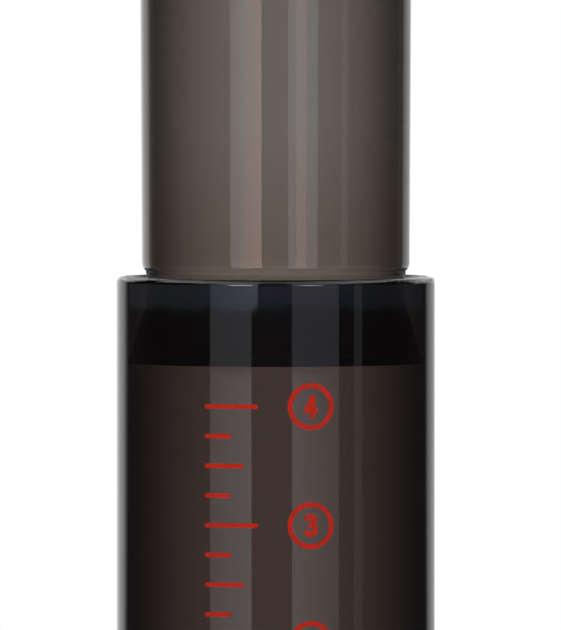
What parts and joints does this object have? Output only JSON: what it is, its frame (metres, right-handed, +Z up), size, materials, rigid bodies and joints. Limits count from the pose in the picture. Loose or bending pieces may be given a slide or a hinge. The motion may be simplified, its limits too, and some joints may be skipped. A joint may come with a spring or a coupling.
{
  "type": "piston coffee press",
  "caption": "Hand-pressed coffee maker: clear chamber with a finger flange, hollow plunger with a rubber seal, and a perforated bayonet cap over a round paper filter.",
  "frame": {"origin": "centre of the filter cap's flat base, on the common axis of cap, chamber and plunger", "axes": "+Z up along the chamber's axis, towards the plunger's handle; -Y towards the front, where the numbered marks are"},
  "size_m": [0.1018, 0.091, 0.2385],
  "materials": {
    "clear_chamber": "smoke-grey clear plastic, polished",
    "clear_plunger": "lighter smoke-grey clear plastic, polished",
    "seal_rubber": "black moulded rubber, matt",
    "cap_plastic": "black moulded plastic, satin",
    "paper": "thin white filter paper",
    "ink": "orange-red printed ink"
  },
  "bodies": {
    "chamber": {"chamber": "clear_chamber", "scale_ticks": "ink", "mark_1": "ink", "mark_2": "ink", "mark_3": "ink", "mark_4": "ink"},
    "plunger_seal": {"plunger_seal": "seal_rubber"},
    "plunger": {"plunger": "clear_plunger"},
    "paper_filter": {"paper_filter": "paper"},
    "filter_cap": {"filter_cap": "cap_plastic"}
  },
  "joints": [
    {"name": "plunger_slide", "type": "slide", "parent": "chamber", "child": "plunger_seal", "axis": [0, 0, 1], "range_m": [-0.1015, 0.02]},
    {"name": "plunger_turn", "type": "hinge", "parent": "plunger_seal", "child": "plunger", "pos_m": [0, 0, 0.1], "axis": [0, 0, 1], "continuous": true},
    {"name": "chamber_twist", "type": "hinge", "parent": "filter_cap", "child": "paper_filter", "pos_m": [0, 0, 0], "axis": [0, 0, -1], "range_deg": [0, 30]},
    {"name": "chamber_lift", "type": "slide", "parent": "paper_filter", "child": "chamber", "axis": [0, 0, 1], "range_m": [0, 0.03]}
  ]
}
